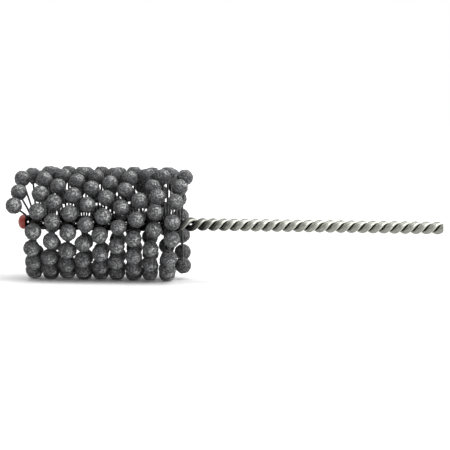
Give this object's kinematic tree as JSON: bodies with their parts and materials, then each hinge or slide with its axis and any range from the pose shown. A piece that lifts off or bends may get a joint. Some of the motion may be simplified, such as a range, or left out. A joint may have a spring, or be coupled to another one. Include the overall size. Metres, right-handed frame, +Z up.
{
  "type": "flexible ball hone",
  "caption": "Flexible ball hone: abrasive balls on nylon filaments held in a twisted wire stem, with a dipped tip cap.",
  "frame": {"origin": "centre of the stem's sheared end, on the stem's axis", "axes": "+X along the stem, out of the head towards the chuck; +Z up as the hone lies on its head"},
  "size_m": [0.2049, 0.0549, 0.0543],
  "materials": {
    "stem_wire": "galvanised, drawn",
    "filament": "black nylon",
    "abrasive": "rough grain in resin",
    "tip_cap": "dipped red plastic"
  },
  "bodies": {
    "stem": {"stem_wire_a": "stem_wire", "stem_wire_b": "stem_wire", "tip_cap": "tip_cap", "filament_row_1": "filament", "filament_row_2": "filament", "filament_row_3": "filament", "filament_row_4": "filament", "filament_row_5": "filament", "filament_row_6": "filament", "filament_row_7": "filament", "filament_row_8": "filament"},
    "ball_head": {"ball_ring_01": "abrasive", "ball_ring_02": "abrasive", "ball_ring_03": "abrasive", "ball_ring_04": "abrasive", "ball_ring_05": "abrasive", "ball_ring_06": "abrasive", "ball_ring_07": "abrasive", "ball_ring_08": "abrasive", "ball_ring_09": "abrasive", "ball_ring_10": "abrasive"}
  },
  "joints": [
    {"name": "ball_trail", "type": "hinge", "parent": "stem", "child": "ball_head", "pos_m": [-0.16085, 0, 0], "axis": [1, 0, 0], "range_deg": [-15, 15], "stiffness_Nm_per_rad": 0.05, "deforming": ["filament_row_1", "filament_row_2", "filament_row_3", "filament_row_4", "filament_row_5", "filament_row_6", "filament_row_7", "filament_row_8"]}
  ]
}
